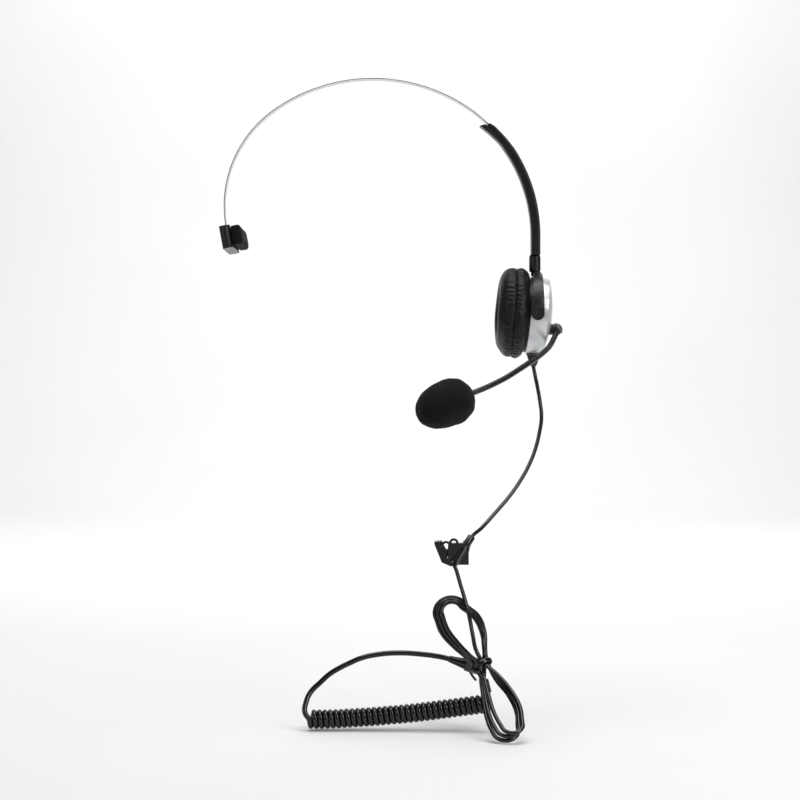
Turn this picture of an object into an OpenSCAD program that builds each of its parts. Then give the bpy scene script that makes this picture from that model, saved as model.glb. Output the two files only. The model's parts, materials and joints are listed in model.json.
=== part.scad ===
// Office headset: one ear cup, sliding headband with a temple pad, microphone boom and a curly cord.
// The origin is the centre of the ear cushion's face. +X points out from the ear, -Y forwards, +Z up.

/* [Ear cup] */
// Diameter of the ear cushion
cushion_d = 54.6; // [54:0.2:55]
// Diameter of the silver cup
cup_d = 46.2; // [45.6:0.1:46.4]
// Lean of the cup, its lower edge towards the head
cup_lean = 5.5; // [4.5:0.5:6]

/* [Headband] */
// Width of the spring strip
strip_w = 8; // [7:0.5:8]
// Thickness of the spring strip
strip_t = 0.6; // [0.4:0.1:0.6]
// Width of the slider arm
arm_w = 11; // [11:0.5:13]
// Length of the temple pad
pad_len = 46; // [42:1:52]

/* [Boom] */
// Diameter of the flexible boom
boom_d = 3.3; // [3:0.1:3.5]
// Length of the foam windscreen
foam_len = 34; // [32:1:36]
// Diameter of the foam windscreen
foam_d = 26; // [24:1:27]

/* [Cord] */
// Diameter of the thin straight cord
cord_d = 2.3; // [2:0.1:2.5]
// Diameter of the curly cord's cable
tail_d = 3; // [2.8:0.1:3.2]
// Outer diameter of the curly cord's coils
curl_d = 10.6; // [10:0.2:11]

/* [Hidden] */
$fn = 64;

cushion_r = cushion_d / 2;
cup_r = cup_d / 2;
lobe_r = 5.1;
rim_z = 19.3;
shoulder_z = 29.2;
dome_z = 33.2;
dome_r = (pow(cup_r, 2) + pow(dome_z - shoulder_z, 2)) / (2 * (dome_z - shoulder_z));
shell_wall = 1.6;
hub_drop = 7.3;
screw_at = 18.4;
screw_angles = [60, 180, 300];
axle_r = 1.6;

pivot_z = 23.5;
pivot = [pivot_z * cos(cup_lean), 0, -pivot_z * sin(cup_lean)];
pin_r = 1.5;
running = 0.05;
arch_in = 24;
arch_out = 25.9;
leg_w = 7.7;
pad_r = 3.8;

stem = [22.9, 0, 0];
stem_r = 2.2;
clip_z = 31.2;
spigot_r = 1.8;
collar_r = 3.45;
collar_top = 34.5;

// The headband's three tangent arcs in the X-Z plane: radii, angles of the joins, and the centres they give
arm_c = [-70.2, 46.1];
arm_r = 93.4;
crown_r = 102.75;
left_r = 70.75;
join_1 = 57.5;
join_2 = 126.4;
crown_c = arm_c - (crown_r - arm_r) * [cos(join_1), sin(join_1)];
left_c = crown_c + (crown_r - left_r) * [cos(join_2), sin(join_2)];
strip_end = 190.6;
strip_start = 14;
strip_tail = 2.6;
arm_tip = 46;
arm_t = 5.5;
channel_t = 0.9;

band_end = [left_c.x + left_r * cos(strip_end), 0, left_c.y + left_r * sin(strip_end)];
band_turn = strip_end - 180;
pad_pin_z = -5.6;

mic_dir = [-0.80, -0.50, -0.33];
mic_at = [-19.3, -89, -49.7];

// Routes of the boom and the cords, as round points along their centrelines
boom_path = [[36, -1.5, -12.5], [31.6, -13, -19.8], [27.6, -26, -23.8], [20.5, -42, -29], [14.8, -53, -32.5],
    [7.5, -63, -37], [0.7, -71, -41], [-8.2, -80, -45.3], [-15.2, -86, -48.2], [-19.3, -89, -49.7]];
upper_path = [[22, 0, -33], [23, -2, -39], [24.2, -5, -46], [25.2, -8, -53], [26, -12, -63], [24.5, -17, -72],
    [21.6, -23, -82], [17.6, -29, -91], [12.2, -35, -100], [5.4, -41, -109], [-3, -48, -118],
    [-12, -56, -127], [-18, -63.5, -131.5]];
lower_path = [[-28, -71, -146], [-26.8, -74, -150], [-25, -79.5, -156.5], [-23.2, -85.5, -162.5],
    [-21.4, -91.5, -169], [-20, -96, -175.5], [-18.7, -99.5, -183], [-16.9, -101.5, -191]];
coil_path = [[-110, -100, -229], [-98, -100, -229], [-86, -100, -228.4], [-72, -100.5, -227.4],
    [-59, -101, -226.2], [-47, -102, -224.8], [-36, -103, -223.2], [-24, -104.5, -221.4],
    [-9.5, -106.2, -219.2]];
tail_path = [[-111.6, -102.5, -226.5], [-110.6, -100.5, -220], [-108, -97, -214.5], [-103, -94.4, -209.8],
    [-98, -92.5, -205.5], [-92, -91, -202], [-86.6, -90, -199.5], [-80, -89.5, -196.8], [-70, -89, -194.8],
    [-59, -88.5, -194.2], [-48, -88.5, -194.8], [-37, -88.8, -196.2], [-31.5, -89, -197.4]];
holder_at = [-18, -63.5, -131.5];
holder_to = [-28, -71, -146];
tie_at = [-14, -102, -199];
junction_at = [-10.7, -102.4, -214.3];
junction_dir = [-1.6, 0.8, 6];
relief_at = [-31.5, -89, -197.4];
relief_dir = [0.93, -0.05, -0.28];
clip_at = [-28.6, -57.5, -141];

// A frame whose Z axis is the cup's own axis, pointing out from the ear, and whose X axis points down
module at_cup() {
    rotate([0, cup_lean, 0]) rotate([0, 90, 0]) children();
}

// Turns Z to the direction v
module along(v) {
    rotate([0, acos(v.z / norm(v)), atan2(v.y, v.x)]) children();
}

// An arc about the Y axis through c, with the child outline's X as the radius
module arc_y(c, a0, a1) {
    translate([c.x, 0, c.y])
        rotate([90, 0, 0])
            rotate([0, 0, a0])
                rotate_extrude(angle = a1 - a0) children();
}

// A rectangle in the arc's outline, from radius r0 to r1 and width w, with corners rounded by c
module band_rect(r0, r1, w, c = 0) {
    translate([r0 + c, -w / 2]) square([r1 - r0 - 2 * c, w]);
    translate([r0, -w / 2 + c]) square([r1 - r0, w - 2 * c]);
    if (c > 0)
        for (x = [r0 + c, r1 - c])
            for (y = [-w / 2 + c, w / 2 - c])
                translate([x, y]) circle(c);
}

module tube(r_out, r_in, h) {
    difference() {
        cylinder(r = r_out, h = h);
        translate([0, 0, -1]) cylinder(r = r_in, h = h + 2);
    }
}

// A smooth curve through the route points p, with k steps in each stretch
function curve_at(a, b, c, d, t) =
    0.5 * (2 * b + (c - a) * t + (2 * a - 5 * b + 4 * c - d) * t * t + (3 * b - a - 3 * c + d) * t * t * t);
function smooth(p, k) = let (n = len(p) - 1) concat(
    [for (i = [0:n - 1]) for (j = [0:k - 1])
        curve_at(p[max(i - 1, 0)], p[i], p[i + 1], p[min(i + 2, n)], j / k)], [p[n]]);
function unit(v) = v / norm(v);
function heading(q, i) = unit(q[min(i + 1, len(q) - 1)] - q[max(i - 1, 0)]);

// A round tube of radius r with s sides, swept along the points q
module sweep(q, r, s) {
    ring_points = [for (i = [0:len(q) - 1])
        let (t = heading(q, i), u = unit(cross(t, [0.1, 1, 0])), v = cross(t, u))
        for (a = [0:s - 1]) q[i] + r * (cos(a * 360 / s) * u + sin(a * 360 / s) * v)];
    last = (len(q) - 1) * s;
    polyhedron(
        points = ring_points,
        faces = concat(
            [for (i = [0:len(q) - 2]) for (a = [0:s - 1]) [i * s + a, (i + 1) * s + a, i * s + (a + 1) % s]],
            [for (i = [0:len(q) - 2]) for (a = [0:s - 1])
                [(i + 1) * s + a, (i + 1) * s + (a + 1) % s, i * s + (a + 1) % s]],
            [[for (a = [0:s - 1]) a]],
            [[for (a = [s - 1:-1:0]) last + a]]
        )
    );
}

// ---- Ear cup ----

// Leatherette ring cushion: two stacked rolls with a skirt that wraps the baffle
module ear_cushion() {
    color("#17171a") at_cup() rotate_extrude() difference() {
        union() {
            translate([cushion_r - lobe_r, lobe_r]) circle(lobe_r);
            translate([cushion_r - lobe_r, 12.4]) circle(lobe_r);
            translate([14, 0]) square([cushion_r - lobe_r - 14, 17.5]);
            translate([11.5, 2.5]) square([10, 7]);
            translate([14, 2.5]) circle(2.5);
            translate([cushion_r - lobe_r, lobe_r]) square([lobe_r - 0.6, 7.3]);
        }
        translate([0, 9.5]) square([23.4, 9]);
    }
}

module cushion_ring() {
    color("#232326") at_cup() translate([0, 0, 9.5]) tube(22.9, 18.6, 1);
}

module acoustic_cloth() {
    color("#1c1c1e") at_cup() translate([0, 0, 9.5]) cylinder(r = 18.4, h = 0.5);
}

// Inner housing: the sound plate, its wall and the flange that the silver cup sits on
module baffle() {
    color("#1b1b1d") at_cup() difference() {
        union() {
            translate([0, 0, 10.5]) cylinder(r = 23.1, h = 2);
            translate([0, 0, 12]) cylinder(r = 22.2, h = rim_z - 12.6);
            translate([0, 0, rim_z - 1.2]) cylinder(r = cup_r - 0.3, h = 1.2);
        }
        translate([0, 0, 12.3]) cylinder(r = 20.4, h = 10);
        translate([0, 0, 9]) cylinder(r = 1.2, h = 5);
        for (a = [0:60:300])
            rotate([0, 0, a]) translate([6, 0, 9]) cylinder(r = 1.2, h = 5);
        for (a = screw_angles)
            rotate([0, 0, a]) translate([screw_at, 0, 9]) cylinder(r = 1.1, h = 5);
    }
}

module speaker_frame() {
    color("#2b2b2e") at_cup() difference() {
        translate([0, 0, 12.3]) cylinder(r = 15.6, h = 3.2);
        translate([0, 0, 11]) cylinder(r = 14.2, h = 3.3);
        translate([0, 0, 11]) cylinder(r = 8.5, h = 6);
    }
}

module diaphragm() {
    color("#c9b27a") at_cup() {
        translate([0, 0, 13]) cylinder(r = 14.2, h = 0.3);
        translate([0, 0, 12.9]) cylinder(r = 6, h = 0.4);
    }
}

module voice_coil() {
    color("#b06a35") at_cup() translate([0, 0, 13.3]) tube(6.1, 5.7, 2.6);
}

module pole_plate() {
    color("#8f9296") at_cup() translate([0, 0, 14.4]) cylinder(r = 5.4, h = 1.2);
}

module magnet() {
    color("#6d7074") at_cup() translate([0, 0, 15.6]) cylinder(r = 5.2, h = 2.6);
}

module magnet_pot() {
    color("#9a9da1") at_cup() difference() {
        translate([0, 0, 14.4]) cylinder(r = 8.5, h = 5);
        translate([0, 0, 13]) cylinder(r = 6.5, h = 5.2);
    }
}

// Small board that joins the speaker, microphone and cord wires
module terminal_board() {
    color("#2f6b45") at_cup() difference() {
        translate([-14, -6, 22.5]) cube([12, 12, 1.2]);
        for (y = [-4:2:4])
            translate([-12, y, 22]) cylinder(r = 0.5, h = 3);
    }
}

// Three screws that go through the baffle into the cup's bosses, under the cushion
module cup_screws() {
    color("#b5b8bc") at_cup() for (a = screw_angles)
        rotate([0, 0, a]) translate([screw_at, 0, 0]) {
            translate([0, 0, 12.3]) cylinder(r = 1.7, h = 1.2);
            translate([0, 0, 13.5]) cylinder(r = 1, h = 12.5);
        }
}

// Silver outer cap with its screw bosses and the bores for the yoke's pins
module cup_shell() {
    plate_z = shoulder_z - 1.4;
    color("#c7c9cc") difference() {
        at_cup() difference() {
            union() {
                rotate([0, 0, 75]) rotate_extrude() polygon([
                    [cup_r - shell_wall, rim_z], [cup_r, rim_z], [cup_r, shoulder_z],
                    [0, shoulder_z], [0, plate_z], [cup_r - shell_wall, plate_z]
                ]);
                for (a = screw_angles)
                    rotate([0, 0, a]) translate([screw_at, 0, rim_z + 0.4]) cylinder(r = 3.2, h = 9);
                for (y = [-1, 1])
                    translate([0, y * 19.6, pivot_z])
                        rotate([90, 0, 0]) cylinder(r = 3.2, h = 4.6, center = true);
            }
            for (y = [-1, 1])
                translate([0, y * 21, pivot_z])
                    rotate([90, 0, 0])
                        cylinder(r = pin_r + running, h = 9, center = true);
            for (a = screw_angles)
                rotate([0, 0, a]) translate([screw_at, 0, rim_z - 1]) cylinder(r = 1, h = 7.7);
            translate([hub_drop, 0, 20]) cylinder(r = 2.6, h = 20);
        }
        translate([22, 0, -40]) cylinder(r = 2.3, h = 25);
    }
}

// Domed outer disc that closes the cup
module cup_face() {
    color("#d2d4d6") at_cup() difference() {
        intersection() {
            translate([0, 0, shoulder_z]) cylinder(r = cup_r, h = 6);
            translate([0, 0, dome_z - dome_r]) sphere(r = dome_r, $fn = 180);
        }
        translate([hub_drop, 0, 20]) cylinder(r = axle_r + running, h = 20);
    }
}

// Soft sleeve at the bottom of the cup that the thin cord comes out of
module strain_relief() {
    color("#141416") {
        translate([22, 0, -26.4]) cylinder(r = 2.2, h = 7);
        difference() {
            translate([22, 0, -31]) cylinder(r1 = 2.6, r2 = 5.2, h = 8);
            at_cup() cylinder(r = cup_r, h = 40);
        }
        translate([22, 0, -33]) cylinder(r1 = 1.6, r2 = 2.6, h = 2);
    }
}

// Clamp inside the cup that holds the cord's end
module cord_anchor() {
    color("#2a2a2d") translate([22, 0, -19.4]) difference() {
        translate([-3.6, -3.6, 0]) cube([7.2, 7.2, 3.4]);
        translate([0, 0, -1]) cylinder(r = 1.2, h = 6);
    }
}

module boom_base() {
    color("#161618") at_cup() difference() {
        translate([hub_drop, 0, 31.8]) tube(3.5, axle_r + running, 1.5);
        translate([0, 0, dome_z - dome_r]) sphere(r = dome_r, $fn = 180);
    }
}

// ---- Yoke ----

// Half hoop over the cup with a round stem that turns in the arm's collar
module yoke() {
    color("#151517") difference() {
        union() {
            intersection() {
                translate([stem.x - leg_w / 2, 0, pivot.z]) rotate([0, 90, 0]) tube(arch_out, arch_in, leg_w);
                translate([0, -30, pivot.z]) cube([40, 60, 30]);
                translate([stem.x - leg_w / 2, -30, pivot.z - 1]) rotate([0, cup_lean, 0]) cube([20, 60, 40]);
            }
            for (y = [-1, 1])
                translate([stem.x, y * (arch_out - 1.1), pivot.z])
                    rotate([90, 0, 0])
                        cylinder(r = pad_r, h = 2.2, center = true);
            translate([stem.x, 0, pivot.z + arch_in + 0.6]) cylinder(r = stem_r, h = 10.9);
        }
        translate([stem.x, 0, clip_z - 0.1]) tube(stem_r + 1, 1.6, 1.1);
        for (y = [-1, 1])
            translate([pivot.x, y * 24, pivot.z])
                rotate([90, 0, 0])
                    cylinder(r = pin_r, h = 2, center = true);
    }
}

// The two pins that the cup tilts on
module pivot_pins() {
    color("#a9acb0") for (y = [-1, 1])
        translate([pivot.x, y * 22.5, pivot.z]) rotate([90, 0, 0]) cylinder(r = pin_r, h = 5, center = true);
}

// ---- Slider arm ----

// Head-side half of the arm, with the pocket for the slide spring and the wedge lip at the tip
module arm_inner_shell() {
    r0 = arm_r - arm_t / 2;
    r1 = arm_r - channel_t / 2;
    color("#131315") difference() {
        union() {
            arc_y(arm_c, 0, arm_tip) intersection() {
                band_rect(r0, arm_r + arm_t / 2, arm_w, 1.5);
                translate([r0, -arm_w / 2]) square([r1 - r0, arm_w]);
            }
            translate([arm_c.x, 0, collar_top]) linear_extrude(arm_c.y - collar_top) intersection() {
                band_rect(r0, arm_r + arm_t / 2, arm_w, 1.5);
                translate([r0, -arm_w / 2]) square([r1 - r0, arm_w]);
            }
            translate([arm_c.x, 0, arm_c.y])
                rotate([90, 0, 0]) linear_extrude(arm_w - 3, center = true) polygon([
                for (a = [36:2:48]) (r0 + 0.2 - 0.15 * max(a - 37, 0)) * [cos(a), sin(a)],
                (r1 - 1.2) * [cos(47), sin(47)],
                (r1 - 0.4) * [cos(arm_tip - 0.3), sin(arm_tip - 0.3)],
                (r1 - 0.4) * [cos(36), sin(36)]
            ]);
        }
        arc_y(arm_c, 37, 43) translate([arm_r - 1.6, -2.6]) square([3, 5.2]);
        translate([stem.x, 0, 30]) cylinder(r = spigot_r + running, h = 10.2);
        translate([arm_c.x + arm_r, 0, 42.5]) rotate([0, -90, 0]) cylinder(r = 1.1, h = 10);
        translate([arm_c.x + arm_r - 1.5, 0, 42.5]) rotate([0, -90, 0]) cylinder(r = 2, h = 10);
    }
}

// Outer half of the arm, with the channel that the strip slides in and the pocket for its stop
module arm_outer_shell() {
    r0 = arm_r - channel_t / 2;
    r1 = arm_r + arm_t / 2;
    color("#19191b") difference() {
        union() {
            arc_y(arm_c, 0, arm_tip) intersection() {
                band_rect(arm_r - arm_t / 2, r1, arm_w, 1.5);
                translate([r0, -arm_w / 2]) square([r1 - r0, arm_w]);
            }
            translate([arm_c.x, 0, collar_top]) linear_extrude(arm_c.y - collar_top) intersection() {
                band_rect(arm_r - arm_t / 2, r1, arm_w, 1.5);
                translate([r0, -arm_w / 2]) square([r1 - r0, arm_w]);
            }
        }
        arc_y(arm_c, 2.5, arm_tip + 1)
            translate([r0 - 1, -strip_w / 2 - 0.12])
                square([channel_t + 1, strip_w + 0.24]);
        arc_y(arm_c, 3, 31) translate([r0, -3.2]) square([2.2, 6.4]);
        translate([stem.x, 0, 30]) cylinder(r = spigot_r + running, h = 10.2);
        translate([arm_c.x + arm_r - 2, 0, 42.5]) rotate([0, 90, 0]) cylinder(r = 0.8, h = 4);
    }
}

// Round socket under the arm: its spigot is gripped between the two halves
module arm_collar() {
    color("#18181a") translate([stem.x, 0, 0]) difference() {
        union() {
            translate([0, 0, 24.2]) cylinder(r1 = collar_r - 0.35, r2 = collar_r, h = 1.2);
            translate([0, 0, 25.4]) cylinder(r = collar_r, h = 7.6);
            translate([0, 0, 33]) cylinder(r1 = collar_r, r2 = 3, h = 1.5);
            translate([0, 0, 34.5]) cylinder(r = spigot_r, h = 5.5);
        }
        translate([0, 0, 20]) cylinder(r = stem_r + running, h = 13.5);
        translate([0, 0, clip_z - 0.2]) cylinder(r = 2.9, h = 1.3);
    }
}

module arm_screw() {
    color("#8b8e92") translate([arm_c.x + arm_r, 0, 42.5]) {
        translate([-2.7, 0, 0]) rotate([0, 90, 0]) cylinder(r = 1.8, h = 1.2);
        translate([-1.5, 0, 0]) rotate([0, 90, 0]) cylinder(r = 0.8, h = 3.3);
    }
}

// Bowed leaf that grips the strip
module slide_spring() {
    color("#9b9ea2") {
        arc_y(arm_c, 37.2, 42.8) band_rect(arm_r - 1.55, arm_r - 1.3, 4.8);
        arc_y(arm_c, 39.5, 40.5) band_rect(arm_r - 1.4, arm_r - 0.4, 4.8);
    }
}

// Open ring that sits in the stem's groove and keeps the arm on
module swivel_clip() {
    color("#a4a7ab") translate([stem.x, 0, clip_z]) difference() {
        tube(2.7, 1.65, 0.9);
        translate([0, -0.8, -1]) cube([5, 1.6, 3]);
    }
}

// ---- Headband ----

// Points of an arc through c, from angle a0 to a1 in steps of about 1.5 degrees
function arc_points(c, r, a0, a1) = let (n = ceil(abs(a1 - a0) / 1.5))
    [for (i = [0:n]) c + r * [cos(a0 + (a1 - a0) * i / n), sin(a0 + (a1 - a0) * i / n)]];

// One long edge of the strip, at the distance d outside its middle
function strip_edge(d) = concat(
    arc_points(arm_c, arm_r + d, strip_start, join_1 - 1.5),
    arc_points(crown_c, crown_r + d, join_1, join_2 - 1.5),
    arc_points(left_c, left_r + d, join_2, strip_end + strip_tail));

function reversed(p) = [for (i = [len(p) - 1:-1:0]) p[i]];

module strip_solid() {
    rotate([90, 0, 0]) linear_extrude(strip_w, center = true)
        polygon(concat(strip_edge(strip_t / 2), reversed(strip_edge(-strip_t / 2))));
}

// Thin spring strip over the head: three tangent arcs, the first concentric with the arm's channel
module headband_spring() {
    color("#8d9195") strip_solid();
}

// Stop riveted to the strip's inner end
module band_stop() {
    color("#2c2c2f") arc_y(arm_c, 14.5, 17.5) band_rect(arm_r + strip_t / 2, arm_r + 1.5, 6);
}

// A frame at the strip's left end: Z runs back up the strip, X points to the head
module at_band_end() {
    translate(band_end) rotate([0, -band_turn, 0]) children();
}

// Moulded end piece clamped on the strip, which carries the pad's hinge pin
module pad_bracket() {
    color("#1d1d1f") difference() {
        at_band_end() difference() {
            translate([-1.4, -5.2, -8]) cube([2.8, 10.4, 8]);
            translate([0, 0, pad_pin_z]) rotate([90, 0, 0]) cylinder(r = 1, h = 30, center = true);
        }
        strip_solid();
    }
}

module pad_pin() {
    color("#a0a3a7") at_band_end() translate([0, 0, pad_pin_z])
        rotate([90, 0, 0]) cylinder(r = 0.95, h = 16, center = true);
}

// An outline with round ends, len long in Y and thickness t in X, starting at x
module lozenge(x, t, len) {
    translate([x, -len / 2 + t / 2]) square([t, len - t]);
    for (y = [-1, 1])
        translate([x + t / 2, y * (len / 2 - t / 2)]) circle(t / 2);
}

// T-shaped holder that tilts on the pin and carries the soft pad
module pad_holder() {
    color("#121214") at_band_end() difference() {
        translate([0, 0, -14.2]) linear_extrude(13.6) lozenge(-3, 6.4, pad_len);
        translate([-2.4, -5.7, -10.5]) cube([4.8, 11.4, 12]);
        translate([0, 0, pad_pin_z]) rotate([90, 0, 0]) cylinder(r = 0.95, h = 17, center = true);
    }
}

module temple_pad() {
    color("#1a1a1c") at_band_end()
        translate([0, 0, -13.6]) linear_extrude(12.6) lozenge(3.4, 6.4, pad_len - 1);
}

// ---- Boom ----

// A frame on the boom's hub axis, with Z pointing out from the cup
module at_hub() {
    at_cup() translate([hub_drop, 0, 0]) children();
}

module boom_hub() {
    color("#101012") at_hub() difference() {
        union() {
            translate([0, 0, 33.5]) cylinder(r = 3.3, h = 2.1);
            translate([0, 0, 36.6]) sphere(r = 3.5);
        }
        translate([0, 0, 30]) cylinder(r = axle_r, h = 6);
    }
}

// Grey cap over the hub's outer side
module boom_cap() {
    color("#7d8084") at_hub() translate([0, 0, 36.6]) rotate([0, -40, 0]) difference() {
        sphere(r = 4);
        sphere(r = 3.5);
        translate([-5, -5, -6]) cube([10, 10, 7.2]);
    }
}

module boom_axle() {
    color("#96999d") at_hub() translate([0, 0, 27.3]) difference() {
        cylinder(r = axle_r, h = 8.7);
        translate([0, 0, -1]) cylinder(r = 0.7, h = 12);
    }
}

// Retaining washer on the axle inside the cup
module boom_clip() {
    color("#b0b3b7") at_hub() translate([0, 0, 27.8]) tube(2.4, axle_r, 1.1);
}

module boom_tube() {
    color("#141416") sweep(smooth(boom_path, 3), boom_d / 2, 12);
}

// A frame at the boom's tip, with Z pointing along the microphone
module at_mic() {
    translate(mic_at) along(mic_dir) children();
}

module boom_ferrule() {
    color("#1a1a1c") at_mic() translate([0, 0, 0.2]) cylinder(r1 = 2.1, r2 = 3, h = 4.8);
}

module mic_housing() {
    color("#1f1f21") at_mic() difference() {
        translate([0, 0, 5]) cylinder(r = 4.6, h = 13);
        translate([0, 0, 7]) cylinder(r = 3.6, h = 13);
    }
}

module mic_capsule() {
    color("#b9bcc0") at_mic() translate([0, 0, 10]) cylinder(r = 3, h = 5);
}

module mic_seal() {
    color("#2a2a2c") at_mic() translate([0, 0, 9.4]) tube(3.6, 3, 6.6);
}

// Foam egg pulled over the microphone
module windscreen() {
    color("#08080a") at_mic() difference() {
        hull() {
            translate([0, 0, foam_d / 2 + 3]) sphere(r = foam_d / 2, $fn = 36);
            translate([0, 0, foam_len - foam_d / 2 + 3.6]) sphere(r = foam_d / 2 - 1.4, $fn = 36);
        }
        translate([0, 0, -1]) cylinder(r = 4.6, h = 19);
    }
}

// ---- Cord, clip and plug ----

module upper_cord() {
    color("#0d0d0f") sweep(smooth(upper_path, 2), cord_d / 2, 8);
}

module lower_cord() {
    color("#0d0d0f") sweep(smooth(lower_path, 2), cord_d / 2, 8);
}

module tail_cord() {
    color("#0d0d0f") sweep(smooth(tail_path, 2), tail_d / 2, 8);
}

module curly_cord() {
    color("#101012") sweep(smooth(coil_path, 2), curl_d / 2, 14);
}

// The clip's side plate in the X-Z plane: finger tab at the top, jaw at the bottom
module clip_plate() {
    rotate([90, 0, 0]) linear_extrude(11, center = true)
        polygon([[10.5, 6.8], [10.6, 5.2], [6.4, -5.2], [1.3, -7.4], [0.3, -7.4], [0.3, -3.4], [3.2, -2.8],
            [3.3, 1.2], [6.2, 7.2]]);
}

// Ears of radius r around the clip's pin, between y0 and y1 on both sides
module clip_ears(r, y0, y1) {
    for (s = [-1, 1])
        translate([0, s * (y0 + y1) / 2, 0]) {
            rotate([90, 0, 0]) cylinder(r = r, h = y1 - y0, center = true);
            translate([0, -(y1 - y0) / 2, -2]) cube([4, y1 - y0, 4]);
        }
}

module clip_body() {
    color("#0f0f11") translate(clip_at) difference() {
        union() {
            clip_plate();
            clip_ears(2.6, 3.9, 5.5);
        }
        rotate([90, 0, 0]) cylinder(r = 1, h = 20, center = true);
    }
}

module clip_lever() {
    color("#0b0b0d") translate(clip_at) mirror([1, 0, 0]) difference() {
        union() {
            clip_plate();
            clip_ears(2.6, 2.3, 3.7);
        }
        rotate([90, 0, 0]) cylinder(r = 1 + running, h = 20, center = true);
        for (s = [-1, 1])
            translate([0, s * 5.8, 0]) rotate([90, 0, 0]) cylinder(r = 3, h = 4.1, center = true);
    }
}

module clip_pin() {
    color("#b7babd") translate(clip_at) rotate([90, 0, 0]) cylinder(r = 1, h = 11.6, center = true);
}

// Coiled spring on the pin that keeps the jaws closed
module clip_spring() {
    color("#a5a8ac") translate(clip_at + [0, 2.1, 0]) rotate([90, 0, 0]) tube(2, 1.3, 4.2);
}

// Sleeve on the clip that grips the thin cord
module clip_cord_holder() {
    color("#141416") {
        translate(holder_at) along(holder_to - holder_at) cylinder(r = 2.3, h = norm(holder_to - holder_at));
        translate([-21.5, clip_at.y - 5.5, -138.5]) rotate([90, 0, 0]) cylinder(r = 2.2, h = 4.5);
        translate([-31.5, clip_at.y - 11, -147]) cube([11.8, 5, 12.4]);
    }
}

// One flat loop of the hank: a neck at the tie and a round end h away
module hank_loop(h, r, t) {
    rotate([90, 0, 0]) linear_extrude(t, center = true) hull() {
        circle(4.6);
        translate([0, h]) circle(r);
    }
}

// Spare thin cord, wound in flat turns and tied in the middle
module cord_hank() {
    color("#0d0d0f") translate(tie_at) {
        rotate([-28, 0, 0]) rotate([0, -31, 0]) hank_loop(36, 9.6, 6.4);
        rotate([-50, 0, 0]) rotate([0, 165, 0]) hank_loop(45, 8.6, 6.4);
    }
}

module hank_tie() {
    color("#101012") translate(tie_at) rotate([-30, 0, 0]) rotate([0, -28, 0])
        translate([0, 0, -1.5]) tube(6.2, 5.2, 3);
}

// Moulded sleeve where the thin cord becomes the curly cord
module cord_junction() {
    color("#0f0f11") translate(junction_at) along(junction_dir) cylinder(r = 2.4, h = 7.5);
}

module at_plug() {
    translate(relief_at) along(relief_dir) children();
}

module plug_relief() {
    color("#0e0e10") at_plug() cylinder(r1 = 1.8, r2 = 3.1, h = 9.5);
}

// Four-way modular handset plug
module plug_body() {
    color("#26262a") at_plug() translate([-3.3, -3.82, 9.5]) difference() {
        cube([6.6, 7.64, 12]);
        for (i = [-1.5:1:1.5])
            translate([5, 3.82 + i * 1.27 - 0.3, 8]) cube([2, 0.6, 5]);
    }
}

module plug_contacts() {
    color("#d0a53c") at_plug() translate([-3.3, -3.82, 9.5])
        for (i = [-1.5:1:1.5])
            translate([5, 3.82 + i * 1.27 - 0.3, 8]) cube([1.3, 0.6, 3.6]);
}

// Springy release tab on the plug's back
module plug_latch() {
    color("#2c2c30") at_plug() translate([-3.3, 0, 9.5]) {
        translate([-0.8, -1.6, 10.8]) cube([0.75, 3.2, 0.8]);
        translate([-1.7, -1.6, 1.5]) cube([0.9, 3.2, 10.1]);
    }
}

ear_cushion();
cushion_ring();
acoustic_cloth();
baffle();
speaker_frame();
diaphragm();
voice_coil();
pole_plate();
magnet();
magnet_pot();
terminal_board();
cup_screws();
cup_shell();
cup_face();
strain_relief();
cord_anchor();
boom_base();
yoke();
pivot_pins();
arm_outer_shell();
arm_inner_shell();
arm_collar();
arm_screw();
slide_spring();
swivel_clip();
headband_spring();
band_stop();
pad_bracket();
pad_holder();
pad_pin();
temple_pad();
boom_hub();
boom_cap();
boom_axle();
boom_clip();
boom_tube();
boom_ferrule();
mic_housing();
mic_capsule();
mic_seal();
windscreen();
upper_cord();
clip_body();
clip_cord_holder();
clip_pin();
clip_spring();
clip_lever();
lower_cord();
cord_hank();
hank_tie();
cord_junction();
curly_cord();
tail_cord();
plug_relief();
plug_body();
plug_contacts();
plug_latch();
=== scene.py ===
"""Office headset, the visual model: one ear cup, a sliding headband, a microphone boom and a curly cord.

Shapes are given in millimetres in the CAD's frame and turned to metres as each mesh is made.
"""
import json
import math

import bmesh
import bpy
from mathutils import Matrix, Vector, noise


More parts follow.
